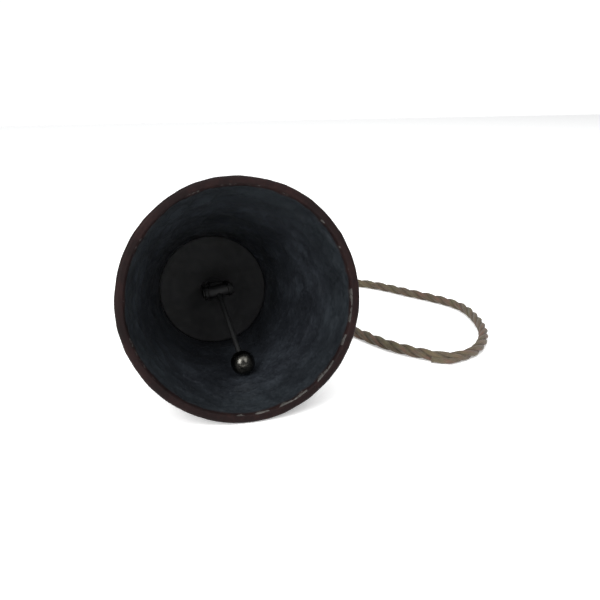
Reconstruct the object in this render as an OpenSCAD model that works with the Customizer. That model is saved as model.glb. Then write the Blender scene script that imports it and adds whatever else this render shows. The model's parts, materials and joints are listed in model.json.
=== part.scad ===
// Hand-hung dinner bell lying on its side: a hammered iron shell with a
// crown plate, an eyebolt, a swivelling clapper and a rope loop.
// Millimetres, +Z up, standing surface at z = 0, mouth towards -Y.

/* [Bell] */
// Outer radius of the lip at the mouth
mouth_r = 50; // [42:0.5:60]
// Depth from the mouth to the inner face of the crown
bell_h = 88; // [73:1:106]
// Inner radius where the wall meets the crown
crown_r = 27.5; // [23:0.5:33]
// Thickness of the wall
wall = 1.8; // [1.4:0.1:2.6]
// How strongly the wall curves out towards the mouth (1 = a straight cone)
flare = 1.25; // [1.05:0.05:1.5]
// Width of the lip, from inside edge to outside edge
lip_w = 3.5; // [2.8:0.1:5]
// Height of the rolled lip
lip_h = 4.5; // [3.5:0.1:6]

/* [Crown] */
// Thickness of the crown plate
plate_t = 2; // [1.5:0.1:3]
// How far the shell is turned over the plate
flange_lap = 4; // [2:0.5:7]
// Rounding of the shoulder
shoulder_round = 3; // [2:0.25:4]

/* [Hanger] */
// Diameter of the eyebolt's shank
bolt_d = 5; // [4:0.5:6]
// Diameter of the hole in the eye
eye_hole = 10; // [9:0.25:11]
// Thickness of the eye's bar
eye_wire = 4.5; // [3.5:0.25:6]
// Height of the collar under the eye
collar_h = 2; // [1.2:0.1:3]
// Diameter of the washers
washer_d = 12; // [10:0.5:15]
// Thickness of the washers
washer_t = 1.2; // [0.8:0.1:1.6]
// Height of the nuts
nut_h = 4; // [3.2:0.1:4.8]

/* [Clapper] */
// Depth of the clapper's pin below the crown
pin_depth = 17; // [16:0.5:20.5]
// Diameter of the pin
pin_d = 3; // [2.5:0.1:3.6]
// Thickness of the shackle's strap
strap_t = 1.5; // [1.2:0.1:2]
// Width of the shackle's strap
strap_w = 7; // [6.4:0.1:8.4]
// Diameter of the clapper's rod
rod_d = 2.5; // [2:0.1:3]
// Diameter of the clapper's ball
ball_d = 11; // [9:0.5:14]
// Distance from the mouth to where the ball strikes
strike_depth = 36; // [28:1:44]
// Turn of the clapper off the lowest line of the wall, in degrees
clapper_turn = 8; // [0:1:30]

/* [Rope] */
// Diameter of the rope
rope_d = 6; // [5:0.5:7]

/* [Fits] */
// Radial play of a turning fit
running = 0.06; // [0.02:0.01:0.1]
// Radial play of a fixed fit
snug = 0.02; // [0.01:0.01:0.05]
// End play of the shackle between its nuts
end_play = 0.3; // [0.2:0.05:0.5]
// Gap between the ball and the wall at rest
rest_gap = 0.3; // [0.2:0.05:0.5]

/* [Hidden] */
$fn = 96;

// Roundings of the lip and steps of the curves
lip_round = lip_h / 3;
edge_round = 0.8;
neck_h = 3;
arc_steps = 8;
wall_steps = 18;
// Turn of the seam where the revolved wall starts and ends, in degrees
seam_turn = 20;

// Levels along the bell's axis, measured from the mouth
mouth_in = mouth_r - lip_w;
plate_top = bell_h + plate_t;
shell_top = plate_top + wall;
top_r = crown_r + wall;
flange_r = crown_r - flange_lap;
nut_flats = bolt_d * 1.6;
nut_corners = nut_flats / cos(30);
collar_d = bolt_d * 1.8;
collar_top = plate_top + washer_t + collar_h;
eye_sink = 0.6;
eye_r = (eye_hole + eye_wire) / 2;
eye_z = collar_top + eye_hole / 2 + eye_wire - eye_sink;
clamp_z = bell_h - washer_t - nut_h;
bridge_z = clamp_z - end_play - strap_t;
retain_z = bridge_z - end_play - nut_h;
thread_out = 1.2;
bolt_end = retain_z - thread_out;

// Lying angle: a line that touches the rolled lip and the shoulder
low_lip = [mouth_r - lip_round, lip_h - lip_round];
low_top = [top_r - shoulder_round, shell_top - shoulder_round];
span = low_top - low_lip;
lean = acos((shoulder_round - lip_round) / norm(span)) - atan2(span[1], -span[0]);
mouth_z = low_lip[0] * cos(lean) + low_lip[1] * sin(lean) + lip_round;
front = low_lip[0] * sin(lean) - lip_round * cos(lean) + lip_round;
back = (eye_z + eye_r) * cos(lean) + eye_wire / 2;
mouth_y = (front - back) / 2;

// Clapper at rest against the wall
pin_z = bell_h - pin_depth;
wall_slope = atan((mouth_in - crown_r) * flare / bell_h
                  * pow(1 - strike_depth / bell_h, flare - 1));
ball_out = inner_r(strike_depth) - (ball_d / 2 + rest_gap) / cos(wall_slope);
swing_rest = atan2(ball_out, pin_z - strike_depth);
rod_len = norm([ball_out, pin_z - strike_depth]);
strap_gap = nut_corners + 0.8;
barrel_d = pin_d + 3;
barrel_play = 0.2;
rod_seat = ball_d * 0.3;
head_d = pin_d * 1.8;
head_h = 1;

// Points that guide the rope's centre line, as it lies: from the splice in
// front of the loop, round the far side, down through the eye and back
route = [
    [105, -21, 3], [113.5, -21, 3], [121.5, -17.5, 3], [130.5, -9, 3], [140.5, 6, 3],
    [147, 27.5, 3], [150, 50, 3], [141.5, 67, 3], [129.5, 82, 3], [117.5, 101.5, 3],
    [100, 117.5, 3], [82.5, 122, 3], [67, 114.5, 3], [53, 101, 6], [41, 88, 14],
    [31, 80.5, 24], [22, 73.5, 32.5], [14.5, 67, 37.5], [8.9, 61.4, 39.1],
    [4.2, 56.2, 37], [1, 52.5, 32], [0, 51, 25], [0, 51, 17.5], [2, 50.5, 10.5],
    [7, 49.3, 5], [14.5, 48, 3], [24, 48, 3], [35.5, 49, 3], [48.5, 48, 3], [61, 43, 3],
    [70.5, 32.5, 3], [77, 17, 3], [83.5, 1.5, 3], [91.5, -8.5, 3], [97.5, -15, 3]
];
rope_sides = 10;
rope_cuts = 2;
// Gap between the rope's two ends, as a share of one leg of the route
butt_gap = 0.03;

// Inner radius of the wall at a height above the mouth
function inner_r(z) =
    crown_r + (mouth_in - crown_r) * pow(max(0, 1 - z / bell_h), flare);

// Points of a quarter or smaller arc, from angle a to angle b
function arc(c, r, a, b) =
    [for (i = [0:arc_steps]) let (t = a + (b - a) * i / arc_steps)
        [c[0] + r * cos(t), c[1] + r * sin(t)]];

function unit(v) = v / norm(v);

// Point on the closed, evenly bending curve that the points of p guide
function along(p, i, t) =
    let (n = len(p), a = p[(i + n - 1) % n], b = p[i % n],
         c = p[(i + 1) % n], d = p[(i + 2) % n])
    (pow(1 - t, 3) * a + (3 * pow(t, 3) - 6 * pow(t, 2) + 4) * b
     + (3 * t + 3 * pow(t, 2) - 3 * pow(t, 3) + 1) * c + pow(t, 3) * d) / 6;

// Puts the bell's own frame, mouth at z = 0 and crown up, on its side
module lay() {
    translate([0, mouth_y, mouth_z]) rotate([-(90 + lean), 0, 0]) children();
}

// Turns the shackle to where the clapper rests
module turned() {
    rotate([0, 0, -clapper_turn]) children();
}

// Frame of the clapper: its pin along X and its rod down -Z
module swung() {
    turned() translate([0, 0, pin_z]) rotate([swing_rest, 0, 0]) children();
}

module hex_nut(z) {
    translate([0, 0, z]) difference() {
        cylinder(h = nut_h, d = nut_corners, $fn = 6);
        translate([0, 0, -1]) cylinder(h = nut_h + 2, d = bolt_d + 2 * snug);
    }
}

module washer(z) {
    translate([0, 0, z]) difference() {
        cylinder(h = washer_t, d = washer_d);
        translate([0, 0, -1]) cylinder(h = washer_t + 2, d = bolt_d + 2 * snug);
    }
}

module bell_shell() {
    outer_start = lip_h + neck_h;
    outer_end = shell_top - shoulder_round;
    outline = concat(
        [for (i = [0:wall_steps])
            let (z = bell_h - (bell_h - edge_round) * i / wall_steps) [inner_r(z), z]],
        arc([mouth_in + edge_round, edge_round], edge_round, 200, 270),
        arc([low_lip[0], lip_round], lip_round, -90, 0),
        arc(low_lip, lip_round, 0, 70),
        [for (i = [0:wall_steps])
            let (z = outer_start + (outer_end - outer_start) * i / wall_steps)
            [inner_r(z) + wall, z]],
        arc(low_top, shoulder_round, 10, 90),
        [[flange_r, shell_top], [flange_r, plate_top], [crown_r, plate_top]]
    );
    color("#2b2f36") lay() rotate([0, 0, seam_turn]) rotate_extrude() polygon(outline);
}

module crown_plate() {
    color("#34353a") lay() difference() {
        translate([0, 0, bell_h]) cylinder(h = plate_t, r = crown_r - snug);
        translate([0, 0, bell_h - 1]) cylinder(h = plate_t + 2, d = bolt_d + 2 * snug);
    }
}

module hanger_eyebolt() {
    neck_top = eye_z - eye_hole / 2 - eye_sink;
    color("#3a3330") lay() {
        translate([0, 0, eye_z]) rotate([90, 0, 0])
            rotate_extrude() translate([eye_r, 0]) circle(d = eye_wire, $fn = 48);
        translate([0, 0, collar_top - collar_h]) cylinder(h = collar_h, d = collar_d);
        translate([0, 0, collar_top]) cylinder(h = neck_top - collar_top, d = eye_wire);
        translate([0, 0, bolt_end]) cylinder(h = collar_top - bolt_end, d = bolt_d);
    }
}

module outer_washer() {
    color("#3a3330") lay() washer(plate_top);
}

module inner_washer() {
    color("#303236") lay() washer(bell_h - washer_t);
}

module clamp_nut() {
    color("#303236") lay() hex_nut(clamp_z);
}

module retaining_nut() {
    color("#303236") lay() hex_nut(retain_z);
}

module clapper_shackle() {
    arm_x = strap_gap / 2;
    arm_top = bridge_z + strap_t;
    color("#2c2e33") lay() turned() difference() {
        union() {
            translate([-arm_x - strap_t, -strap_w / 2, bridge_z])
                cube([strap_gap + 2 * strap_t, strap_w, strap_t]);
            for (side = [-1, 1]) translate([side * (arm_x + strap_t / 2), 0, 0]) {
                translate([-strap_t / 2, -strap_w / 2, pin_z])
                    cube([strap_t, strap_w, arm_top - pin_z]);
                translate([0, 0, pin_z]) rotate([0, 90, 0])
                    cylinder(h = strap_t, d = strap_w, center = true);
            }
        }
        translate([0, 0, bridge_z - 1]) cylinder(h = strap_t + 2, d = bolt_d + 2 * running);
        translate([0, 0, pin_z]) rotate([0, 90, 0])
            cylinder(h = strap_gap + 4 * strap_t, d = pin_d + 2 * snug, center = true);
    }
}

module shackle_pin() {
    reach = strap_gap / 2 + strap_t;
    color("#3b3d42") lay() turned() translate([0, 0, pin_z]) rotate([0, 90, 0]) {
        cylinder(h = 2 * reach, d = pin_d, center = true);
        translate([0, 0, reach]) cylinder(h = head_h, d = head_d);
        translate([0, 0, -reach - head_h]) cylinder(h = head_h, d = head_d);
    }
}

module clapper_rod() {
    color("#26282c") lay() swung() difference() {
        union() {
            rotate([0, 90, 0])
                cylinder(h = strap_gap - 2 * barrel_play, d = barrel_d, center = true);
            translate([0, 0, rod_seat - rod_len]) cylinder(h = rod_len - rod_seat, d = rod_d);
        }
        rotate([0, 90, 0]) cylinder(h = strap_gap, d = pin_d + 2 * running, center = true);
    }
}

module clapper_ball() {
    color("#8a8a86") lay() swung() translate([0, 0, -rod_len]) difference() {
        sphere(d = ball_d);
        translate([0, 0, rod_seat]) cylinder(h = ball_d, d = rod_d + 2 * snug);
    }
}

module rope_loop() {
    legs = len(route);
    line = concat([for (i = [0:legs - 1], k = [0:rope_cuts - 1])
                   along(route, i, k / rope_cuts)],
                  [along(route, legs - 1, 1 - butt_gap)]);
    last = len(line) - 1;
    dirs = [for (i = [0:last]) unit(line[min(last, i + 1)] - line[max(0, i - 1)])];
    // The cross direction is carried from ring to ring, so the tube has no twist
    side = [for (i = 0, s = unit(cross(dirs[0], [0, 0, 1])); i <= last;
                 i = i + 1, s = i <= last ? unit(s - (s * dirs[i]) * dirs[i]) : s) s];
    rings = [for (i = [0:last], k = [0:rope_sides - 1])
        let (a = 360 * k / rope_sides, up = cross(dirs[i], side[i]))
        line[i] + rope_d / 2 * (cos(a) * side[i] + sin(a) * up)];
    skin = [for (i = [0:last - 1], k = [0:rope_sides - 1])
        let (a = i * rope_sides, b = a + rope_sides, n = (k + 1) % rope_sides)
        [a + k, b + k, b + n, a + n]];
    ends = [[for (k = [0:rope_sides - 1]) k],
            [for (k = [rope_sides - 1:-1:0]) last * rope_sides + k]];
    color("#6f6352") polyhedron(rings, concat(skin, ends));
}

bell_shell();
crown_plate();
hanger_eyebolt();
outer_washer();
inner_washer();
clamp_nut();
retaining_nut();
clapper_shackle();
shackle_pin();
clapper_rod();
clapper_ball();
rope_loop();
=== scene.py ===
"""Looks of a small hammered dinner bell that lies on its side with its rope loop.

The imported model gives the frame. This script puts hammered, forged and twisted
surfaces where the model has plain ones, dresses every piece, and sets the table,
the light and the camera. Lengths in the classes are in millimetres, in the bell's
own frame: mouth at z = 0, crown up the z axis. Everything is laid in the row
frame, in metres, by BellFrame.
"""

from __future__ import annotations

import json
import logging
import math
import random
from dataclasses import dataclass, field
from enum import Enum
from typing import Callable, Iterable, Sequence

import bmesh
import bpy
from mathutils import Matrix, Vector, noise

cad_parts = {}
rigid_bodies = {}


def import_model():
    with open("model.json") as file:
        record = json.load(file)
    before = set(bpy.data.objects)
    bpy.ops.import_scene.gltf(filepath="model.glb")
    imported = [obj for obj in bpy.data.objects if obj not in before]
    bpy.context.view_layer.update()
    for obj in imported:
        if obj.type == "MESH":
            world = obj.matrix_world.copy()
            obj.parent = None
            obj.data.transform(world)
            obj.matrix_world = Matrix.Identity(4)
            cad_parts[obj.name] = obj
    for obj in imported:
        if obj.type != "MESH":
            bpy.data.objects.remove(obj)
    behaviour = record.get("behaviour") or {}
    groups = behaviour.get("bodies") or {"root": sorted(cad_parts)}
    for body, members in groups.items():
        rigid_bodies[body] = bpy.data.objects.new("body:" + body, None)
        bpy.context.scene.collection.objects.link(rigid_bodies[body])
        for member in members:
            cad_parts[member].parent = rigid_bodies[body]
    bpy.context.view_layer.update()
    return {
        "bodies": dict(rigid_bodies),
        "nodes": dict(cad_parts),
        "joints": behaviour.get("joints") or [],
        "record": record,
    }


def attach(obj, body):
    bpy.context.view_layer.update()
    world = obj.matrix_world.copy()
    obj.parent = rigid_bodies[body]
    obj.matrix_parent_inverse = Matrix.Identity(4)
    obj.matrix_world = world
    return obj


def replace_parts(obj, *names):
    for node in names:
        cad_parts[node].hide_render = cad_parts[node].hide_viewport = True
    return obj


LOG = logging.getLogger("dinner_bell")

MM = 0.001
TURN = 2.0 * math.pi

Point = tuple[float, float, float]
Outline = list[tuple[float, float]]
Cross = tuple[Vector, Vector, Vector]


# ---------------------------------------------------------------- small tools


def clamp(value: float, low: float = 0.0, high: float = 1.0) -> float:
    """Keeps value between low and high."""
    return max(low, min(high, value))


def smooth(low: float, high: float, value: float) -> float:
    """Eases from 0 at low to 1 at high."""
    t = clamp((value - low) / (high - low))
    return t * t * (3.0 - 2.0 * t)


def linear(code: str, alpha: float = 1.0) -> tuple[float, float, float, float]:
    """Turns an sRGB hex code into linear RGBA.

    Args:
        code: Six hex digits, with or without a leading #.
        alpha: Opacity of the colour.

    Returns:
        Linear red, green, blue and alpha.
    """
    digits = code.lstrip("#")
    parts = [int(digits[i : i + 2], 16) / 255.0 for i in (0, 2, 4)]
    curve = [c / 12.92 if c <= 0.04045 else ((c + 0.055) / 1.055) ** 2.4 for c in parts]
    return (curve[0], curve[1], curve[2], alpha)


def arc(centre: tuple[float, float], radius: float, start: float, end: float, steps: int) -> Outline:
    """Points of an arc, with both ends.

    Args:
        centre: Middle of the arc.
        radius: Radius of the arc.
        start: First angle, in degrees.
        end: Last angle, in degrees.
        steps: Number of chords.

    Returns:
        The points in order.
    """
    angles = [math.radians(start + (end - start) * i / steps) for i in range(steps + 1)]
    return [(centre[0] + radius * math.cos(a), centre[1] + radius * math.sin(a)) for a in angles]


def wrapped(angle: float) -> float:
    """Brings an angle into -pi to pi."""
    return (angle + math.pi) % TURN - math.pi


def spun(outline: Sequence[tuple[float, float]], steps: int) -> bmesh.types.BMesh:
    """Turns a closed outline round the z axis.

    Args:
        outline: Radius and height of each corner, in order round the section.
        steps: Number of segments round the axis.

    Returns:
        A closed mesh, not yet laid in the row frame.
    """
    bm = bmesh.new()
    verts = [bm.verts.new((r, 0.0, z)) for r, z in outline]
    edges = [bm.edges.new((verts[i - 1], verts[i])) for i in range(len(verts))]
    bmesh.ops.spin(
        bm, geom=verts + edges, cent=(0, 0, 0), axis=(0, 0, 1), angle=TURN, steps=steps, use_merge=True
    )
    bmesh.ops.recalc_face_normals(bm, faces=bm.faces)
    return bm


@dataclass(frozen=True)
class BellFrame:
    """Where the bell lies: takes millimetres in the bell's own frame to the row frame."""

    matrix: Matrix

    @classmethod
    def from_joints(cls, joints: Iterable[dict], pin_height: float) -> BellFrame:
        """Reads the bell's axis from the clapper's swivel.

        Args:
            joints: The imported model's joints.
            pin_height: Height of the clapper's pin above the mouth, in mm.

        Returns:
            The bell's frame.
        """
        swivel = next(j for j in joints if j["name"] == "clapper_swivel")
        z_axis = Vector(swivel["axis"]).normalized()
        x_axis = Vector((1, 0, 0))
        y_axis = z_axis.cross(x_axis)
        origin = Vector(swivel["pos_m"]) - z_axis * pin_height * MM
        turn = Matrix((x_axis, y_axis, z_axis)).transposed().to_4x4()
        return cls(Matrix.Translation(origin) @ turn @ Matrix.Scale(MM, 4))


def finished(
    name: str,
    bm: bmesh.types.BMesh,
    place: Matrix,
    materials: Sequence[bpy.types.Material],
    body: str,
) -> bpy.types.Object:
    """Makes an object of a mesh and lets it ride on its body.

    Args:
        name: Name of the piece.
        bm: The mesh, which is freed.
        place: Takes the mesh to the row frame.
        materials: One material per face index.
        body: Body that carries the piece.

    Returns:
        The finished object, at the origin.
    """
    bm.transform(place)
    mesh = bpy.data.meshes.new(name)
    bm.to_mesh(mesh)
    bm.free()
    mesh.shade_smooth()
    for material in materials:
        mesh.materials.append(material)
    obj = bpy.data.objects.new(name, mesh)
    bpy.context.scene.collection.objects.link(obj)
    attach(obj, body)
    LOG.info("%s: %d faces on %s", name, len(mesh.polygons), body)
    return obj


# ------------------------------------------------------------------- finishes


def add_node(
    tree: bpy.types.NodeTree, kind: str, settings: dict | None = None, **inputs: object
) -> bpy.types.Node:
    """Adds a node with its settings, values and links.

    Args:
        tree: The material's node tree.
        kind: Blender's name of the node type.
        settings: Properties of the node itself.
        **inputs: One per input, by its name with _ for a space, or i and its
            number. A socket is linked; anything else becomes the value.

    Returns:
        The new node.
    """
    node = tree.nodes.new(kind)
    for key, value in (settings or {}).items():
        setattr(node, key, value)
    for key, value in inputs.items():
        by_number = key[0] == "i" and key[1:].isdigit()
        socket = node.inputs[int(key[1:]) if by_number else key.replace("_", " ")]
        if isinstance(value, bpy.types.NodeSocket):
            tree.links.new(value, socket)
        else:
            socket.default_value = value
    return node


def blank_material(name: str) -> tuple[bpy.types.Material, bpy.types.NodeTree, bpy.types.Node]:
    """Makes a node material with nothing but its surface shader.

    Args:
        name: Name of the finish.

    Returns:
        The material, its tree and its Principled shader.
    """
    material = bpy.data.materials.new(name)
    material.use_nodes = True
    return material, material.node_tree, material.node_tree.nodes["Principled BSDF"]


def ramp(
    tree: bpy.types.NodeTree, factor: bpy.types.NodeSocket, stops: Sequence[tuple[float, str]]
) -> bpy.types.NodeSocket:
    """Colours a factor by named stops.

    Args:
        tree: The material's node tree.
        factor: What picks the colour.
        stops: Place from 0 to 1 and sRGB hex code of each stop.

    Returns:
        The colour socket.
    """
    node = add_node(tree, "ShaderNodeValToRGB", Fac=factor)
    elements = node.color_ramp.elements
    while len(elements) < len(stops):
        elements.new(1.0)
    for element, (place, code) in zip(elements, stops):
        element.position = place
        element.color = linear(code)
    return node.outputs["Color"]


def mixed(
    tree: bpy.types.NodeTree, factor: object, first: object, second: object, blend: str = "MIX"
) -> bpy.types.NodeSocket:
    """Mixes two colours.

    Args:
        tree: The material's node tree.
        factor: Share of the second colour.
        first: Colour or socket under the mix.
        second: Colour or socket over the mix.
        blend: Blender's name of the blend type.

    Returns:
        The colour socket.
    """
    settings = {"data_type": "RGBA", "blend_type": blend}
    node = add_node(tree, "ShaderNodeMix", settings, i0=factor, i6=first, i7=second)
    return node.outputs[2]


def math_node(
    tree: bpy.types.NodeTree, operation: str, *values: object, clamped: bool = False
) -> bpy.types.NodeSocket:
    """Does one step of arithmetic on sockets or numbers."""
    inputs = {f"i{i}": value for i, value in enumerate(values)}
    node = add_node(tree, "ShaderNodeMath", {"operation": operation, "use_clamp": clamped}, **inputs)
    return node.outputs[0]


def blended(
    tree: bpy.types.NodeTree,
    first: bpy.types.NodeSocket,
    first_share: float,
    second: bpy.types.NodeSocket,
    second_share: float,
) -> bpy.types.NodeSocket:
    """Adds shares of two factors."""
    return math_node(
        tree,
        "ADD",
        math_node(tree, "MULTIPLY", first, first_share),
        math_node(tree, "MULTIPLY", second, second_share),
    )


def grain(
    tree: bpy.types.NodeTree, size_mm: float, detail: float = 3.0, vector: bpy.types.NodeSocket | None = None,
    roughness: float = 0.5,
) -> bpy.types.NodeSocket:
    """Noise whose lumps have a real size.

    Args:
        tree: The material's node tree.
        size_mm: Size of one lump in millimetres.
        detail: Octaves of finer lumps.
        vector: Coordinates in metres, or None for the object's own.
        roughness: Strength of the finer lumps.

    Returns:
        The noise factor.
    """
    source = vector or add_node(tree, "ShaderNodeTexCoord").outputs["Object"]
    look = {"Scale": 1.0 / (size_mm * MM), "Detail": detail, "Roughness": roughness}
    return add_node(tree, "ShaderNodeTexNoise", Vector=source, **look).outputs["Fac"]


def bumped(
    tree: bpy.types.NodeTree, shader: bpy.types.Node, height: bpy.types.NodeSocket, depth_mm: float
) -> None:
    """Gives a shader a bump of a real depth."""
    node = add_node(tree, "ShaderNodeBump", Strength=1.0, Distance=depth_mm * MM, Height=height)
    tree.links.new(node.outputs["Normal"], shader.inputs["Normal"])


class Zone(Enum):
    """Float attributes that a hammered mesh carries for its finish."""

    OXIDE = "oxide"
    RIDGE = "ridge"
    WEAR_AND_HIGHLIGHT = "wear_and_highlight"


@dataclass(frozen=True)
class HammeredIron:
    """Mild steel sheet, hammered hot, blackened inside and left red-brown outside.

    The blackened face is a thin blue-grey scale: dark, with a soft gloss that
    catches on the ridges between hammer marks. The oxide is a dull red-brown.
    Bare-metal colour marks worn chips at the lip, and is a painted highlight on
    the ridges near the mouth and along the lip's outer corner.
    """

    name: str = "blackened_hammered_iron"
    scale_dark: str = "#14161a"
    scale_mid: str = "#22252a"
    scale_light: str = "#3b4046"
    scale_green: str = "#1b2123"
    oxide_dark: str = "#0f0b0a"
    oxide_mid: str = "#190f0f"
    oxide_light: str = "#291917"
    bare_metal_and_highlight: str = "#5d5b58"
    scale_roughness: tuple[float, float] = (0.3, 0.5)
    oxide_roughness: float = 0.5
    grain_depth: float = 0.12

    def build(self) -> bpy.types.Material:
        """Makes the material."""
        material, tree, shader = blank_material(self.name)
        oxide = add_node(tree, "ShaderNodeAttribute", {"attribute_name": Zone.OXIDE.value}).outputs["Fac"]
        ridge = add_node(tree, "ShaderNodeAttribute", {"attribute_name": Zone.RIDGE.value}).outputs["Fac"]
        wear_and_highlight = add_node(tree, "ShaderNodeAttribute", {"attribute_name": Zone.WEAR_AND_HIGHLIGHT.value}).outputs["Fac"]
        cloud = grain(tree, 14.0, 4.0)
        fine = grain(tree, 1.6, 5.0, roughness=0.65)
        pits = grain(tree, 0.5, 3.0)
        mottle = blended(tree, cloud, 0.6, fine, 0.4)
        scale = ramp(tree, mottle, [(0.3, self.scale_dark), (0.5, self.scale_mid), (0.74, self.scale_light)])
        tint = math_node(tree, "MULTIPLY", ridge, math_node(tree, "MULTIPLY", cloud, 0.8), clamped=True)
        scale = mixed(tree, tint, scale, linear(self.scale_green))
        rust = ramp(tree, mottle, [(0.3, self.oxide_dark), (0.5, self.oxide_mid), (0.72, self.oxide_light)])
        uneven = math_node(tree, "MULTIPLY", math_node(tree, "SUBTRACT", fine, 0.5), 0.5)
        edge = math_node(tree, "ADD", oxide, uneven)
        edge = math_node(tree, "MULTIPLY", math_node(tree, "SUBTRACT", edge, 0.22), 1.7, clamped=True)
        colour = mixed(tree, edge, scale, rust)
        # Bare-metal colour where the mask is high: worn chips at the lip, and painted highlights on the lit
        # ridges and along the lip's outer corner.
        chips_and_highlights = math_node(tree, "MULTIPLY", wear_and_highlight, grain(tree, 1.5, 4.0, roughness=0.7))
        chips_and_highlights = math_node(tree, "MULTIPLY", math_node(tree, "SUBTRACT", chips_and_highlights, 0.55), 9.0, clamped=True)
        colour = mixed(tree, chips_and_highlights, colour, linear(self.bare_metal_and_highlight))
        tree.links.new(colour, shader.inputs["Base Color"])
        low, high = self.scale_roughness
        gloss = add_node(tree, "ShaderNodeMapRange", Value=fine, i1=0.3, i2=0.7, i3=low, i4=high).outputs[0]
        rough = math_node(tree, "ADD", gloss, math_node(tree, "MULTIPLY", edge, self.oxide_roughness - low))
        rough = math_node(tree, "SUBTRACT", rough, math_node(tree, "MULTIPLY", chips_and_highlights, 0.2), clamped=True)
        tree.links.new(rough, shader.inputs["Roughness"])
        metal = math_node(tree, "ADD", math_node(tree, "MULTIPLY", chips_and_highlights, 0.7), 0.15)
        tree.links.new(metal, shader.inputs["Metallic"])
        dull = math_node(tree, "SUBTRACT", 0.5, math_node(tree, "MULTIPLY", edge, 0.4), clamped=True)
        tree.links.new(dull, shader.inputs["Specular IOR Level"])
        bumped(tree, shader, blended(tree, fine, 0.7, pits, 0.3), self.grain_depth)
        return material


@dataclass(frozen=True)
class ForgedSteel:
    """Small steel hardware with the dull dark skin that forging or handling leaves."""

    name: str
    dark: str
    light: str
    roughness: tuple[float, float]
    metallic: float
    grain_mm: float = 1.2
    depth_mm: float = 0.04

    def build(self) -> bpy.types.Material:
        """Makes the material."""
        material, tree, shader = blank_material(self.name)
        cloud = grain(tree, self.grain_mm * 4.0, 4.0)
        fine = grain(tree, self.grain_mm, 5.0, roughness=0.6)
        colour = ramp(tree, blended(tree, cloud, 0.5, fine, 0.5), [(0.35, self.dark), (0.65, self.light)])
        tree.links.new(colour, shader.inputs["Base Color"])
        low, high = self.roughness
        gloss = add_node(tree, "ShaderNodeMapRange", Value=fine, i1=0.3, i2=0.7, i3=low, i4=high).outputs[0]
        tree.links.new(gloss, shader.inputs["Roughness"])
        shader.inputs["Metallic"].default_value = self.metallic
        bumped(tree, shader, fine, self.depth_mm)
        return material


@dataclass(frozen=True)
class Jute:
    """Hand-twisted jute: matt, straw to brown, with shade painted darker where the strands meet."""

    name: str = "twisted_jute"
    shade: str = "#2f261b"
    base: str = "#574d40"
    straw: str = "#766c59"
    rust: str = "#654a40"
    olive: str = "#5d5a40"
    fibre_mm: float = 0.25
    depth_mm: float = 0.12

    def build(self) -> bpy.types.Material:
        """Makes the material."""
        material, tree, shader = blank_material(self.name)
        unshaded_factor = add_node(tree, "ShaderNodeAttribute", {"attribute_name": "lay"}).outputs["Fac"]
        uv = add_node(tree, "ShaderNodeUVMap", {"uv_map": "yarn"}).outputs["UV"]
        stretch = add_node(tree, "ShaderNodeMapping", Vector=uv, Scale=(1.0, 0.06, 1.0)).outputs[0]
        fibre = grain(tree, self.fibre_mm, 4.0, stretch, 0.6)
        patch = grain(tree, 7.0, 3.0)
        drawn_out = add_node(tree, "ShaderNodeMapping", Vector=uv, Scale=(1.0, 0.4, 1.0)).outputs[0]
        blot = grain(tree, 3.6, 3.0, drawn_out)
        colour = ramp(tree, fibre, [(0.3, self.shade), (0.52, self.base), (0.75, self.straw)])
        warm = math_node(tree, "MULTIPLY", math_node(tree, "SUBTRACT", blot, 0.48), 6.0, clamped=True)
        colour = mixed(tree, math_node(tree, "MULTIPLY", warm, 0.7), colour, linear(self.rust))
        pale = math_node(tree, "MULTIPLY", math_node(tree, "SUBTRACT", patch, 0.5), 5.0, clamped=True)
        colour = mixed(tree, math_node(tree, "MULTIPLY", pale, 0.65), colour, linear(self.olive))
        # Painted shade: the grooves between strands and between yarns are mixed towards the dark shade
        # colour.
        groove_shade = math_node(tree, "SUBTRACT", 1.0, unshaded_factor, clamped=True)
        colour = mixed(tree, math_node(tree, "MULTIPLY", groove_shade, 0.55), colour, linear(self.shade))
        tree.links.new(colour, shader.inputs["Base Color"])
        shader.inputs["Roughness"].default_value = 0.9
        shader.inputs["Specular IOR Level"].default_value = 0.25
        shader.inputs["Sheen Weight"].default_value = 0.15
        bumped(tree, shader, fibre, self.depth_mm)
        return material


# ------------------------------------------------------------------ the shell


@dataclass(frozen=True)
class HammerWork:
    """How a wall was hammered."""

    pitch: float
    face_radius: float
    scatter: float
    tilt: float
    seed: int


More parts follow.
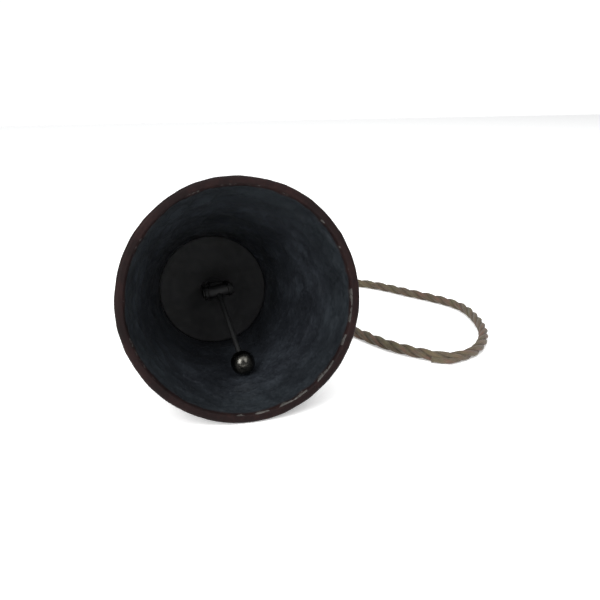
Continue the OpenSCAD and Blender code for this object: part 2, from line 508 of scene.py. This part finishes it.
class HammerMarks:
    """Rows of overlapping hammer marks round a wall, each a shallow tilted dish."""

    def __init__(
        self, work: HammerWork, low: float, high: float, radius_at: Callable[[float], float]
    ) -> None:
        """Lays out the marks.

        Args:
            work: Size and unevenness of the marks.
            low: Height of the first row.
            high: Height of the last row.
            radius_at: Radius of the wall at a height.
        """
        self.work, self.low, self.radius_at = work, low, radius_at
        rng = random.Random(work.seed)
        self.rows: list[list[tuple[float, float, float, float, float]]] = []
        for j in range(round((high - low) / work.pitch) + 2):
            height = low + j * work.pitch
            count = max(8, round(TURN * radius_at(height) / work.pitch))
            phase = rng.random()
            row = []
            for i in range(count):
                jitter = [rng.uniform(-work.scatter, work.scatter) for _ in range(2)]
                row.append(
                    (
                        (i + phase + jitter[0]) * TURN / count,
                        height + jitter[1] * work.pitch,
                        rng.uniform(0.0, 0.06),
                        rng.gauss(0.0, work.tilt),
                        rng.gauss(0.0, work.tilt),
                    )
                )
            row.sort()
            self.rows.append(row)

    def height(self, angle: float, level: float) -> float:
        """Height of the surface over the marks' deepest points, in mm.

        Args:
            angle: Direction round the axis, in radians.
            level: Height along the axis.

        Returns:
            The height: near 0 in a mark, more on a ridge between marks.
        """
        radius = self.radius_at(level)
        here = round((level - self.low) / self.work.pitch)
        best = 1.0
        for row in self.rows[max(0, here - 1) : here + 2]:
            count = len(row)
            near = int((angle % TURN) / TURN * count)
            for i in range(near - 2, near + 3):
                theta, z, lift, slope_u, slope_v = row[i % count]
                u = wrapped(angle - theta) * radius
                v = level - z
                dish = lift + slope_u * u + slope_v * v + (u * u + v * v) / (2.0 * self.work.face_radius)
                best = min(best, dish)
        return best


@dataclass
class Shell:
    """The hammered wall with its rolled lip and turned-over shoulder."""

    mouth_r: float = 50.0
    depth: float = 88.0
    crown_r: float = 27.5
    wall: float = 1.8
    flare: float = 1.25
    lip_w: float = 3.5
    lip_h: float = 4.5
    edge_round: float = 0.8
    plate_t: float = 2.0
    flange_lap: float = 4.0
    shoulder_round: float = 3.0
    neck_h: float = 3.0
    steps_round: int = 360
    wall_rows: int = 112
    inside: HammerWork = HammerWork(6.4, 17.0, 0.26, 0.115, 11)
    outside: HammerWork = HammerWork(7.5, 20.0, 0.24, 0.022, 23)

    @property
    def mouth_in(self) -> float:
        """Inner radius at the lip."""
        return self.mouth_r - self.lip_w

    @property
    def top(self) -> float:
        """Height of the turned-over edge."""
        return self.depth + self.plate_t + self.wall

    def inner(self, z: float) -> float:
        """Inner radius at a height."""
        share = max(0.0, 1.0 - z / self.depth)
        return self.crown_r + (self.mouth_in - self.crown_r) * share**self.flare

    def outline(self) -> Outline:
        """Section of the wall, from the crown down the inside and up the outside."""
        lip_round = self.lip_h / 3.0
        lip_x = self.mouth_r - lip_round
        shoulder = (self.crown_r + self.wall - self.shoulder_round, self.top - self.shoulder_round)
        flange = self.crown_r - self.flange_lap
        start, end = self.lip_h + self.neck_h, shoulder[1]
        fall = self.depth - self.edge_round
        down = [self.depth - fall * i / self.wall_rows for i in range(self.wall_rows + 1)]
        rows = self.wall_rows - 12
        up = [start + (end - start) * i / rows for i in range(rows + 1)]
        points: Outline = [(self.inner(z), z) for z in down]
        points += arc((self.mouth_in + self.edge_round, self.edge_round), self.edge_round, 200, 270, 4)
        points += [(self.mouth_in + self.edge_round + 0.6, 0.0)]
        points += arc((lip_x, lip_round), lip_round, -90, 0, 5)
        points += arc((lip_x, self.lip_h - lip_round), lip_round, 0, 70, 5)
        points += [(lip_x - 0.2, self.lip_h + 0.9), (self.inner(start) + self.wall + 0.25, start - 1.2)]
        points += [(self.inner(z) + self.wall, z) for z in up]
        points += arc(shoulder, self.shoulder_round, 12, 90, 6)
        points += [(shoulder[0] - 1.4, self.top), (flange + 0.3, self.top), (flange, self.top - 0.3)]
        points += [(flange, self.depth + self.plate_t), (self.crown_r, self.depth + self.plate_t)]
        return points

    def build(self, frame: BellFrame, material: bpy.types.Material) -> bpy.types.Object:
        """Makes the hammered shell.

        Args:
            frame: Where the bell lies.
            material: The shell's finish.

        Returns:
            The piece.
        """
        bm = spun(self.outline(), self.steps_round)
        bm.normal_update()
        marks_in = HammerMarks(self.inside, 3.5, self.depth, self.inner)
        marks_out = HammerMarks(self.outside, self.lip_h + 3.0, self.top, lambda z: self.inner(z) + self.wall)
        oxide = bm.verts.layers.float.new(Zone.OXIDE.value)
        ridge = bm.verts.layers.float.new(Zone.RIDGE.value)
        wear_and_highlight = bm.verts.layers.float.new(Zone.WEAR_AND_HIGHLIGHT.value)
        moves = []
        for v in bm.verts:
            x, y, z = v.co
            radius, angle = math.hypot(x, y), math.atan2(y, x)
            on_inside = radius < self.inner(z) + self.wall * 0.5 and z > 0.2
            at_top = z > self.depth + 0.1
            wobble = noise.noise(Vector((x, y, z)) * 0.035) * 0.35
            nick = noise.noise(Vector((math.cos(angle) * 9.0, math.sin(angle) * 9.0, z * 0.15)))
            lift = 0.0
            if on_inside and not at_top:
                fade = smooth(0.5, 4.0, z) * (1.0 - 0.45 * smooth(20.0, 60.0, z)) * smooth(88.0, 84.0, z)
                height = marks_in.height(angle, z)
                lift = min(0.2, (height - 0.12) * fade)
                v[ridge] = smooth(34.0, 4.0, z)
                v[oxide] = smooth(3.8 + 1.6 * nick, 0.3, z)
                # Painted highlight: bare-metal colour on the hammer ridges near the mouth, strongest on the
                # side round the axis where the light falls. The chips along the lip's inner edge below 2.2 mm
                # are wear.
                lit_side = 0.5 + 0.42 * smooth(-0.2, 0.7, math.cos(angle - 0.5))
                ridge_highlight = smooth(0.25, 0.5, height) * smooth(12.0, 2.0, z)
                v[wear_and_highlight] = smooth(2.2, 0.8, z) * 0.6 + lit_side * ridge_highlight
            elif z > self.lip_h + 0.5 and not at_top:
                low, high = self.lip_h + 1.0, self.top - 1.0
                fade = smooth(low, low + 4.0, z) * smooth(high, high - 5.0, z)
                height = marks_out.height(angle, z)
                lift = (height - 0.2) * fade
                v[oxide] = 1.0
                v[wear_and_highlight] = 0.15 + 0.5 * smooth(0.25, 0.4, height) * fade
            elif at_top:
                v[oxide] = 1.0
                v[wear_and_highlight] = 0.3
            else:
                rim = smooth(self.mouth_in + 0.2, self.mouth_in + 1.1, radius)
                lift = nick * 0.16 + 0.1 * max(0.0, noise.noise(Vector((x, y, z)) * 0.4))
                v[oxide] = 1.0
                # Painted highlight: a band of bare-metal colour along the lip's outer corner stands for the
                # line of light there; the inner edge of the lip gets worn chips.
                v[wear_and_highlight] = 0.55 - 0.2 * rim + 0.3 * smooth(self.mouth_r - 1.3, self.mouth_r - 0.7, radius)
            seat = 1.0 - smooth(self.depth - 3.0, self.depth, z) if on_inside or at_top else 1.0
            outwards = Vector((x, y, 0.0)).normalized()
            moves.append((v, v.normal * lift + outwards * wobble * seat))
        for v, move in moves:
            v.co += move
        piece = finished("bell_wall", bm, frame.matrix, [material], "bell")
        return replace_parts(piece, "bell_shell")


@dataclass
class Crown:
    """The plate that closes the top, hammered flat and set against the turned edge."""

    radius: float = 27.48
    low: float = 88.0
    thickness: float = 2.0
    hole_r: float = 2.52
    steps_round: int = 160
    rings: int = 30
    work: HammerWork = HammerWork(6.5, 42.0, 0.25, 0.012, 5)

    def build(self, frame: BellFrame, material: bpy.types.Material) -> bpy.types.Object:
        """Makes the plate.

        Args:
            frame: Where the bell lies.
            material: The plate's finish.

        Returns:
            The piece.
        """
        span = self.radius - 0.25 - self.hole_r
        radii = [self.hole_r + span * i / self.rings for i in range(self.rings + 1)]
        high = self.low + self.thickness
        outline: Outline = [(r, self.low) for r in radii]
        outline += [(self.radius, self.low + 0.25), (self.radius, high - 0.25)]
        outline += [(r, high) for r in reversed(radii)]
        bm = spun(outline, self.steps_round)
        rng = random.Random(self.work.seed)
        spots = self.dishes(rng)
        wear_and_highlight = bm.verts.layers.float.new(Zone.WEAR_AND_HIGHLIGHT.value)
        for v in bm.verts:
            radius = math.hypot(v.co.x, v.co.y)
            free = smooth(self.hole_r + 3.0, self.hole_r + 6.0, radius)
            free *= smooth(self.radius, self.radius - 3.0, radius)
            dish = min(
                ((v.co.x - sx) ** 2 + (v.co.y - sy) ** 2) / (2 * self.work.face_radius) + lift
                for sx, sy, lift in spots
            )
            side = -1.0 if v.co.z < self.low + self.thickness / 2 else 1.0
            v.co.z += side * (dish - 0.12) * free
            v[wear_and_highlight] = 0.2
        piece = finished("crown_disc", bm, frame.matrix, [material], "bell")
        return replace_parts(piece, "crown_plate")

    def dishes(self, rng: random.Random) -> list[Point]:
        """Middle and lift of each hammer mark on the plate."""
        spots = []
        span = math.ceil(self.radius / self.work.pitch) + 1
        for i in range(-span, span + 1):
            for j in range(-span, span + 1):
                x = (i + rng.uniform(-0.3, 0.3) + (j % 2) * 0.5) * self.work.pitch
                y = (j * 0.87 + rng.uniform(-0.3, 0.3)) * self.work.pitch
                spots.append((x, y, rng.uniform(0.0, 0.05)))
        return spots


# ------------------------------------------------------------------- the rope


@dataclass
class RopeLoop:
    """One length of three-strand jute, spliced into a loop and laid through the eye."""

    diameter: float = 6.0
    strand_r: float = 1.72
    lay_length: float = 27.0
    yarn_length: float = 11.0
    yarns: int = 7
    yarn_depth: float = 0.09
    step: float = 0.62
    ring_points: int = 28
    hair_count: int = 900
    hair_r: float = 0.035
    seed: int = 7
    guides: list[Point] = field(
        default_factory=lambda: [
            (0.105, -0.021, 0.003), (0.1135, -0.021, 0.003), (0.1215, -0.0175, 0.003),
            (0.1305, -0.009, 0.003), (0.1405, 0.006, 0.003), (0.147, 0.0275, 0.003),
            (0.15, 0.05, 0.003), (0.1415, 0.067, 0.003), (0.1295, 0.082, 0.003),
            (0.1175, 0.1015, 0.003), (0.1, 0.1175, 0.003), (0.0825, 0.122, 0.003),
            (0.067, 0.1145, 0.003), (0.053, 0.101, 0.006), (0.041, 0.088, 0.014),
            (0.031, 0.0805, 0.024), (0.022, 0.0735, 0.0325), (0.0145, 0.067, 0.0375),
            (0.0089, 0.0614, 0.0391), (0.0042, 0.0562, 0.037), (0.001, 0.0525, 0.032),
            (0.0, 0.051, 0.025), (0.0, 0.051, 0.0175), (0.002, 0.0505, 0.0105),
            (0.007, 0.0493, 0.005), (0.0145, 0.048, 0.003), (0.024, 0.048, 0.003),
            (0.0355, 0.049, 0.003), (0.0485, 0.048, 0.003), (0.061, 0.043, 0.003),
            (0.0705, 0.0325, 0.003), (0.077, 0.017, 0.003), (0.0835, 0.0015, 0.003),
            (0.0915, -0.0085, 0.003), (0.0975, -0.015, 0.003),
        ]
    )
    exit_guide: int = 21
    tail_lead: float = 6.0
    girths: tuple[tuple[float, float], ...] = (
        (0.0, 0.9), (0.1, 0.88), (0.28, 0.93), (0.38, 0.88),
        (0.48, 0.83), (0.66, 0.86), (0.8, 0.97), (1.0, 0.9),
    )

    def girth(self, share: float) -> float:
        """How full the rope is at a share of its way round, from wear and from its lie."""
        for (low, a), (high, b) in zip(self.girths, self.girths[1:]):
            if share <= high:
                return a + (b - a) * smooth(low, high, share)
        return self.girths[-1][1]

    def curve(self) -> list[Vector]:
        """Evenly spaced points of the closed centre line, from the eye round to the eye, in mm."""
        count = len(self.guides)
        pts = [Vector(p) / MM for p in self.guides]
        dense = []
        for leg in range(count):
            i = (leg + self.exit_guide) % count
            a, b, c, d = (pts[(i + k - 1) % count] for k in range(4))
            for s in range(40):
                t = s / 40.0
                before = (1 - t) ** 3 * a + (3 * t**3 - 6 * t**2 + 4) * b
                after = (3 * t + 3 * t**2 - 3 * t**3 + 1) * c + t**3 * d
                dense.append((before + after) / 6.0)
        dense.append(dense[0].copy())
        lengths = [0.0]
        for p, q in zip(dense, dense[1:]):
            lengths.append(lengths[-1] + (q - p).length)
        total = lengths[-1]
        steps = round(total / self.step)
        line, k = [], 0
        for i in range(steps):
            target = total * i / steps
            while lengths[k + 1] < target:
                k += 1
            t = (target - lengths[k]) / (lengths[k + 1] - lengths[k])
            line.append(dense[k].lerp(dense[k + 1], t))
        return line

    @staticmethod
    def frames(line: Sequence[Vector]) -> list[Cross]:
        """Direction and two cross directions at each point, without a jump where the loop closes."""
        count = len(line)
        ways = [(line[(i + 1) % count] - line[i - 1]).normalized() for i in range(count)]
        side = ways[0].cross(Vector((0, 0, 1)))
        if side.length < 0.1:
            side = ways[0].cross(Vector((1, 0, 0)))
        sides = []
        for i in range(count + 1):
            way = ways[i % count]
            side = (side - way * side.dot(way)).normalized()
            sides.append(side)
        first, last = sides[0], sides[count]
        miss = math.atan2(ways[0].dot(last.cross(first)), last.dot(first))
        out = []
        for i, way in enumerate(ways):
            turn = Matrix.Rotation(miss * i / count, 3, way)
            s = turn @ sides[i]
            out.append((way, s, way.cross(s)))
        return out

    def build(self, material: bpy.types.Material) -> list[bpy.types.Object]:
        """Makes the rope, its stray fibres and its cut tail.

        Args:
            material: The jute finish.

        Returns:
            The rope, the fibres and the tail.
        """
        line = self.curve()
        frames = self.frames(line)
        total = sum((line[i] - line[i - 1]).length for i in range(len(line)))
        rope = self.strands(line, frames, total, material)
        fibres = self.hairs(line, frames, material)
        tail = self.tail(line, frames, material)
        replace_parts(rope, "rope_loop")
        LOG.info("rope: %.0f mm round the loop", total)
        return [rope, fibres, tail]

    def strand_centre(self, i: int, count: int, turns: int, k: int, frame: Cross) -> Vector:
        """Offset of a strand's centre from the rope's."""
        angle = TURN * (turns * i / count + k / 3.0)
        reach = (self.diameter / 2.0 - self.strand_r) * self.girth(i / count)
        return frame[1] * math.cos(angle) * reach + frame[2] * math.sin(angle) * reach

    def strands(
        self, line: Sequence[Vector], frames: Sequence[Cross], total: float, material: bpy.types.Material
    ) -> bpy.types.Object:
        """Makes the three twisted strands as one piece."""
        count = len(line)
        turns = round(total / self.lay_length)
        yarn_turns = round(total / self.yarn_length)
        bm = bmesh.new()
        lay = bm.verts.layers.float.new("lay")
        uv = bm.loops.layers.uv.new("yarn")
        for k in range(3):
            rings = []
            for i in range(count):
                way = frames[i][0]
                offset = self.strand_centre(i, count, turns, k, frames[i])
                full = self.girth(i / count)
                sag = (1.0 - full) * self.diameter / 2.0 * smooth(9.0, 4.0, line[i].z)
                centre = line[i] + offset - Vector((0.0, 0.0, sag))
                out = offset.normalized()
                across = way.cross(out)
                swell = 1.0 + 0.07 * noise.noise(Vector((i * 0.05, k * 9.1, 0.0)))
                ring = []
                for n in range(self.ring_points):
                    a = TURN * n / self.ring_points
                    yarn = abs(math.sin((a * self.yarns + TURN * yarn_turns * i / count) / 2.0))
                    reach = self.strand_r * swell * full - self.yarn_depth * (1.0 - yarn)
                    reach += 0.05 * noise.noise(Vector((i * 0.35, n * 0.7, k * 5.0)))
                    co = centre + (out * math.cos(a) + across * math.sin(a)) * reach
                    co.z = max(co.z, 0.03)
                    v = bm.verts.new(co)
                    far = (co - centre + offset).length / (self.diameter / 2.0 * full)
                    # Painted shade mask: 1 on the strands' outer faces, lower in the grooves between strands
                    # and between yarns.
                    v[lay] = smooth(0.55, 0.98, far) * (0.75 + 0.25 * yarn)
                    ring.append(v)
                rings.append(ring)
            for i in range(count):
                a_ring, b_ring = rings[i], rings[(i + 1) % count]
                for n in range(self.ring_points):
                    m = (n + 1) % self.ring_points
                    face = bm.faces.new((a_ring[n], a_ring[m], b_ring[m], b_ring[n]))
                    spots = ((n, i), (n + 1, i), (n + 1, i + 1), (n, i + 1))
                    for loop, (pn, pi) in zip(face.loops, spots):
                        skew = pi * self.step * 0.22
                        loop[uv].uv = (
                            (pn / self.ring_points * TURN * self.strand_r + skew + k * 17.0) * MM,
                            pi * self.step * MM,
                        )
        bmesh.ops.recalc_face_normals(bm, faces=bm.faces)
        return finished("rope_strands", bm, Matrix.Scale(MM, 4), [material], "rope")

    def hairs(
        self, line: Sequence[Vector], frames: Sequence[Cross], material: bpy.types.Material
    ) -> bpy.types.Object:
        """Makes the stray fibres that stand off the rope."""
        rng = random.Random(self.seed)
        bm = bmesh.new()
        lay = bm.verts.layers.float.new("lay")
        bm.loops.layers.uv.new("yarn")
        for _ in range(self.hair_count):
            i = rng.randrange(len(line))
            way, side, up = frames[i]
            angle = rng.uniform(0, TURN)
            out = side * math.cos(angle) + up * math.sin(angle)
            across = way.cross(out)
            lean = rng.choice((-1.0, 1.0))
            length = rng.uniform(1.6, 4.5)
            rise = rng.uniform(0.08, 0.45)
            curl = rng.uniform(-0.5, 0.5)
            start = line[i] + out * (self.diameter / 2.0 * self.girth(i / len(line)) - 0.35)
            rings = []
            for s in range(5):
                t = s / 4.0
                centre = start + way * lean * length * t + out * length * rise * t * (1.2 - 0.4 * t)
                centre += across * curl * length * t * t
                centre.z = max(centre.z, 0.05)
                thick = self.hair_r * (1.0 - 0.75 * t)
                ring = []
                for n in range(3):
                    a = TURN * n / 3
                    v = bm.verts.new(centre + (out * math.cos(a) + across * math.sin(a)) * thick)
                    v[lay] = 0.9
                    ring.append(v)
                rings.append(ring)
            for a_ring, b_ring in zip(rings, rings[1:]):
                for n in range(3):
                    bm.faces.new((a_ring[n], a_ring[(n + 1) % 3], b_ring[(n + 1) % 3], b_ring[n]))
            bm.faces.new(rings[0])
            bm.faces.new(rings[-1])
        bmesh.ops.recalc_face_normals(bm, faces=bm.faces)
        return finished("rope_fibres", bm, Matrix.Scale(MM, 4), [material], "rope")

    def tail(
        self, line: Sequence[Vector], frames: Sequence[Cross], material: bpy.types.Material
    ) -> bpy.types.Object:
        """Makes the cut end of a strand where the loop is spliced."""
        splice = Vector(self.guides[0]) / MM
        start = min(range(len(line)), key=lambda i: (line[i] - splice).length)
        start -= round(self.tail_lead / self.step)
        bm = bmesh.new()
        lay = bm.verts.layers.float.new("lay")
        uv = bm.loops.layers.uv.new("yarn")
        steps = 30
        rings = []
        for s in range(steps + 1):
            i = (start + s) % len(line)
            way = frames[i][0]
            flat = way.cross(Vector((0, 0, 1))).normalized()
            sink = smooth(0.35, 1.0, s / steps)
            centre = line[i] + flat * (2.75 - 1.9 * sink) + Vector((0, 0, -1.3 + 0.7 * sink))
            radius = 1.45 * (1.0 - 0.35 * sink) * (0.93 + 0.07 * math.cos(s))
            ring = []
            for n in range(18):
                a = TURN * n / 18
                ragged = 1.0 + 0.1 * noise.noise(Vector((n * 1.3, s * 0.6, 3.0)))
                co = centre + (flat * math.cos(a) + Vector((0, 0, 1)) * math.sin(a)) * radius * ragged
                if s == 0:
                    co += way * 0.5 * noise.noise(Vector((n * 2.1, 0.0, 8.0)))
                co.z = max(co.z, 0.03)
                v = bm.verts.new(co)
                v[lay] = 0.85
                ring.append(v)
            rings.append(ring)
        for s, (a_ring, b_ring) in enumerate(zip(rings, rings[1:])):
            for n in range(18):
                face = bm.faces.new((a_ring[n], a_ring[(n + 1) % 18], b_ring[(n + 1) % 18], b_ring[n]))
                for loop, (pn, ps) in zip(face.loops, ((n, s), (n + 1, s), (n + 1, s + 1), (n, s + 1))):
                    loop[uv].uv = ((pn * 0.5 + ps * 0.3) * MM, ps * self.step * MM)
        bm.faces.new(rings[0])
        bm.faces.new(rings[-1])
        bmesh.ops.recalc_face_normals(bm, faces=bm.faces)
        return finished("rope_tail", bm, Matrix.Scale(MM, 4), [material], "rope")


# ------------------------------------------------------------ table and light


@dataclass
class Studio:
    """A pale table under soft light, and the camera in front of the mouth."""

    azimuth: float = 14.7
    elevation: float = 17.9
    distance: float = 0.304
    target: Point = (0.02395, -0.0484, 0.0476)
    lens: float = 44.45
    table_size: float = 3.0
    table_colour: str = "#fbfbfa"
    table_glow: float = 0.34
    room: tuple[tuple[float, str], ...] = ((0.1, "#a9aaac"), (0.34, "#8f9092"), (1.0, "#8a8b8d"))
    room_strength: float = 1.05

    def build(self) -> None:
        """Sets the camera, the table and the lights."""
        scene = bpy.context.scene
        scene.view_settings.view_transform = "Standard"
        way = self.view_direction()
        camera = bpy.data.cameras.new("camera")
        camera.lens = self.lens
        camera.sensor_width = 36.0
        camera.clip_start = 0.01
        holder = bpy.data.objects.new("camera", camera)
        holder.location = Vector(self.target) - way * self.distance
        holder.rotation_euler = way.to_track_quat("-Z", "Y").to_euler()
        scene.collection.objects.link(holder)
        scene.camera = holder
        self.table()
        self.light("ceiling", 0.0, 86.0, 1.6, (2.4, 2.4), 1.9)
        self.light("window_right", 24.0, 40.0, 0.9, (0.3, 0.5), 4.2)
        self.light("window_left", -48.0, 30.0, 0.9, (0.4, 0.6), 9.5)
        world = bpy.data.worlds.new("white_room")
        world.use_nodes = True
        tree = world.node_tree
        way_up = add_node(tree, "ShaderNodeTexCoord").outputs["Generated"]
        height = add_node(tree, "ShaderNodeSeparateXYZ", Vector=way_up).outputs["Z"]
        seen = add_node(tree, "ShaderNodeLightPath").outputs["Is Camera Ray"]
        walls = mixed(tree, seen, ramp(tree, height, self.room), linear("#ffffff"))
        tree.links.new(walls, tree.nodes["Background"].inputs["Color"])
        tree.nodes["Background"].inputs["Strength"].default_value = self.room_strength
        scene.world = world

    def view_direction(self) -> Vector:
        """The way the camera looks."""
        a, e = math.radians(self.azimuth), math.radians(self.elevation)
        return Vector((math.sin(a) * math.cos(e), math.cos(a) * math.cos(e), -math.sin(e)))

    def table(self) -> None:
        """Lays the pale table top at z = 0."""
        bm = bmesh.new()
        bmesh.ops.create_grid(bm, x_segments=1, y_segments=1, size=self.table_size / 2)
        mesh = bpy.data.meshes.new("table")
        bm.to_mesh(mesh)
        bm.free()
        material, _, shader = blank_material("matt_white_table")
        shader.inputs["Base Color"].default_value = linear(self.table_colour)
        shader.inputs["Roughness"].default_value = 0.85
        shader.inputs["Emission Color"].default_value = linear("#ffffff")
        shader.inputs["Emission Strength"].default_value = self.table_glow
        mesh.materials.append(material)
        table = bpy.data.objects.new("table", mesh)
        bpy.context.scene.collection.objects.link(table)

    def light(
        self,
        name: str,
        azimuth: float,
        elevation: float,
        reach: float,
        size: tuple[float, float],
        radiance: float,
    ) -> None:
        """Hangs one soft light that faces the bell.

        Args:
            name: Name of the light.
            azimuth: Degrees from -y towards +x.
            elevation: Degrees above the table.
            reach: Distance from the bell, in metres.
            size: Width and height, in metres.
            radiance: Brightness of its face.
        """
        a, e = math.radians(azimuth), math.radians(elevation)
        way = Vector((math.sin(a) * math.cos(e), -math.cos(a) * math.cos(e), math.sin(e)))
        data = bpy.data.lights.new(name, "AREA")
        data.shape = "RECTANGLE"
        data.size, data.size_y = size
        data.energy = math.pi * size[0] * size[1] * radiance
        lamp = bpy.data.objects.new(name, data)
        lamp.location = Vector(self.target) + way * reach
        lamp.rotation_euler = (-way).to_track_quat("-Z", "Y").to_euler()
        bpy.context.scene.collection.objects.link(lamp)


# ------------------------------------------------------------------- assembly


@dataclass(frozen=True)
class Fitting:
    """How one piece of the hardware is softened from its plain node."""

    node: str
    body: str
    slot: str
    edge: float
    keen: float = 40.0


@dataclass
class Hardware:
    """The forged and turned metal between the rope's eye and the clapper's ball."""

    hanger: ForgedSteel = ForgedSteel("forged_oxidised_eye", "#1d1716", "#3b2d29", (0.4, 0.62), 0.55)
    fasteners: ForgedSteel = ForgedSteel("dull_dark_steel", "#080808", "#131415", (0.55, 0.72), 0.3)
    rod: ForgedSteel = ForgedSteel("dark_drawn_wire", "#070708", "#101112", (0.5, 0.65), 0.2)
    ball: ForgedSteel = ForgedSteel("polished_steel_ball", "#3d3c3a", "#4b4a45", (0.2, 0.28), 1.0, 2.0, 0.01)
    eye_height: float = 102.1
    eye_radius: float = 7.25
    wire_r: float = 2.2
    bolt_r: float = 2.5
    bolt_low: float = 75.5
    collar: tuple[float, float, float] = (91.2, 93.2, 4.5)
    thread_pitch: float = 0.8
    thread_depth: float = 0.32
    ball_r: float = 5.5
    fittings: tuple[Fitting, ...] = (
        Fitting("outer_washer", "bell", "hanger_iron", 0.25),
        Fitting("inner_washer", "bell", "hardware_steel", 0.2),
        Fitting("clamp_nut", "bell", "hardware_steel", 0.3),
        Fitting("retaining_nut", "bell", "hardware_steel", 0.3),
        Fitting("clapper_shackle", "shackle", "hardware_steel", 0.3),
        Fitting("shackle_pin", "shackle", "hardware_steel", 0.3),
        Fitting("clapper_rod", "clapper", "rod_steel", 0.25),
    )

    def build(self, nodes: dict[str, bpy.types.Object], frame: BellFrame) -> None:
        """Makes every fitting.

        Args:
            nodes: The frame's nodes by name.
            frame: Where the bell lies.
        """
        hanger = self.hanger.build()
        by_slot = {
            "hanger_iron": hanger,
            "hardware_steel": self.fasteners.build(),
            "rod_steel": self.rod.build(),
        }
        for fitting in self.fittings:
            self.softened(nodes[fitting.node], fitting, by_slot[fitting.slot])
        self.eye(frame, hanger)
        self.clapper_ball(nodes["clapper_ball"], self.ball.build())

    def softened(self, node: bpy.types.Object, fitting: Fitting, material: bpy.types.Material) -> None:
        """Copies a node's shape and rounds its keen edges."""
        bm = bmesh.new()
        bm.from_mesh(node.data)
        bm.transform(Matrix.Scale(1.0 / MM, 4))
        bmesh.ops.remove_doubles(bm, verts=bm.verts, dist=0.002)
        bmesh.ops.dissolve_limit(bm, angle_limit=math.radians(0.6), verts=bm.verts, edges=bm.edges)
        shared = [e for e in bm.edges if len(e.link_faces) == 2]
        keen = [e for e in shared if e.calc_face_angle() > math.radians(fitting.keen)]
        bmesh.ops.bevel(
            bm,
            geom=keen,
            offset=fitting.edge,
            offset_type="OFFSET",
            segments=3,
            profile=0.55,
            affect="EDGES",
            clamp_overlap=True,
        )
        bmesh.ops.recalc_face_normals(bm, faces=bm.faces)
        name = fitting.node + "_worked"
        piece = finished(name, bm, Matrix.Scale(MM, 4), [material], fitting.body)
        piece.data.set_sharp_from_angle(angle=math.radians(32.0))
        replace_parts(piece, fitting.node)

    def eye(self, frame: BellFrame, material: bpy.types.Material) -> None:
        """Makes the forged eye, its neck, its collar and its threaded shank."""
        low, high, reach = self.collar
        top = self.eye_height - self.eye_radius
        rows = round((low - 0.6 - self.bolt_low - 0.6) / 0.1)
        outline: Outline = [(0.0, self.bolt_low), (self.bolt_r - 0.5, self.bolt_low)]
        outline += [(self.bolt_r, self.bolt_low + 0.6 + 0.1 * i) for i in range(rows + 1)]
        outline += [(self.bolt_r, low), (reach - 0.3, low), (reach, low + 0.3)]
        outline += [(reach, high - 0.4), (reach - 0.4, high)]
        outline += [(3.1, high + 0.15), (2.55, high + 0.7), (2.3, high + 1.3)]
        outline += [(2.0, top + 0.6), (0.0, top + 0.6)]
        stem = spun(outline, 64)
        bmesh.ops.remove_doubles(stem, verts=stem.verts, dist=0.0005)
        for v in stem.verts:
            radius, angle = math.hypot(v.co.x, v.co.y), math.atan2(v.co.y, v.co.x)
            if radius > self.bolt_r - 0.01 and v.co.z < low - 0.2:
                phase = TURN * v.co.z / self.thread_pitch + angle
                cut = self.thread_depth * (0.5 - 0.5 * math.cos(phase)) * smooth(low - 0.2, low - 1.6, v.co.z)
                v.co.x *= (radius - cut) / radius
                v.co.y *= (radius - cut) / radius
        ring = bmesh.new()
        made = bmesh.ops.create_circle(ring, cap_ends=False, segments=32, radius=self.wire_r)["verts"]
        bmesh.ops.translate(ring, verts=made, vec=(self.eye_radius, 0.0, 0.0))
        bmesh.ops.spin(
            ring,
            geom=ring.verts[:] + ring.edges[:],
            cent=(0, 0, 0),
            axis=(0, 1, 0),
            angle=TURN,
            steps=96,
            use_merge=True,
        )
        bmesh.ops.recalc_face_normals(ring, faces=ring.faces)
        ring.normal_update()
        for v in ring.verts:
            v.co += v.normal * (0.09 * noise.noise(v.co * 0.45) - 0.04)
        bmesh.ops.translate(ring, verts=ring.verts, vec=(0.0, 0.0, self.eye_height))
        joined = bpy.data.meshes.new("eye_ring")
        ring.to_mesh(joined)
        ring.free()
        stem.from_mesh(joined)
        bpy.data.meshes.remove(joined)
        piece = finished("forged_eye", stem, frame.matrix, [material], "bell")
        piece.data.set_sharp_from_angle(angle=math.radians(50.0))
        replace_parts(piece, "hanger_eyebolt")

    def clapper_ball(self, node: bpy.types.Object, material: bpy.types.Material) -> None:
        """Makes the round, polished ball where its node is."""
        spots = [v.co for v in node.data.vertices]
        centre = Vector([(min(p[k] for p in spots) + max(p[k] for p in spots)) / 2.0 for k in range(3)])
        bm = bmesh.new()
        bmesh.ops.create_uvsphere(bm, u_segments=96, v_segments=48, radius=self.ball_r * MM)
        piece = finished("polished_ball", bm, Matrix.Translation(centre), [material], "clapper")
        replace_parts(piece, "clapper_ball")


def main() -> None:
    """Builds the bell around the frame."""
    logging.basicConfig(level=logging.INFO, format="%(name)s %(message)s")
    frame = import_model()
    Studio().build()
    RopeLoop().build(Jute().build())
    bell = BellFrame.from_joints(frame["joints"], 71.0)
    iron = HammeredIron().build()
    Shell().build(bell, iron)
    plate = ForgedSteel("blackened_crown_plate", "#030303", "#1a1b1e", (0.55, 0.75), 0.1, 2.6, 0.08)
    Crown().build(bell, plate.build())
    Hardware().build(frame["nodes"], bell)


if __name__ == "__main__":
    main()
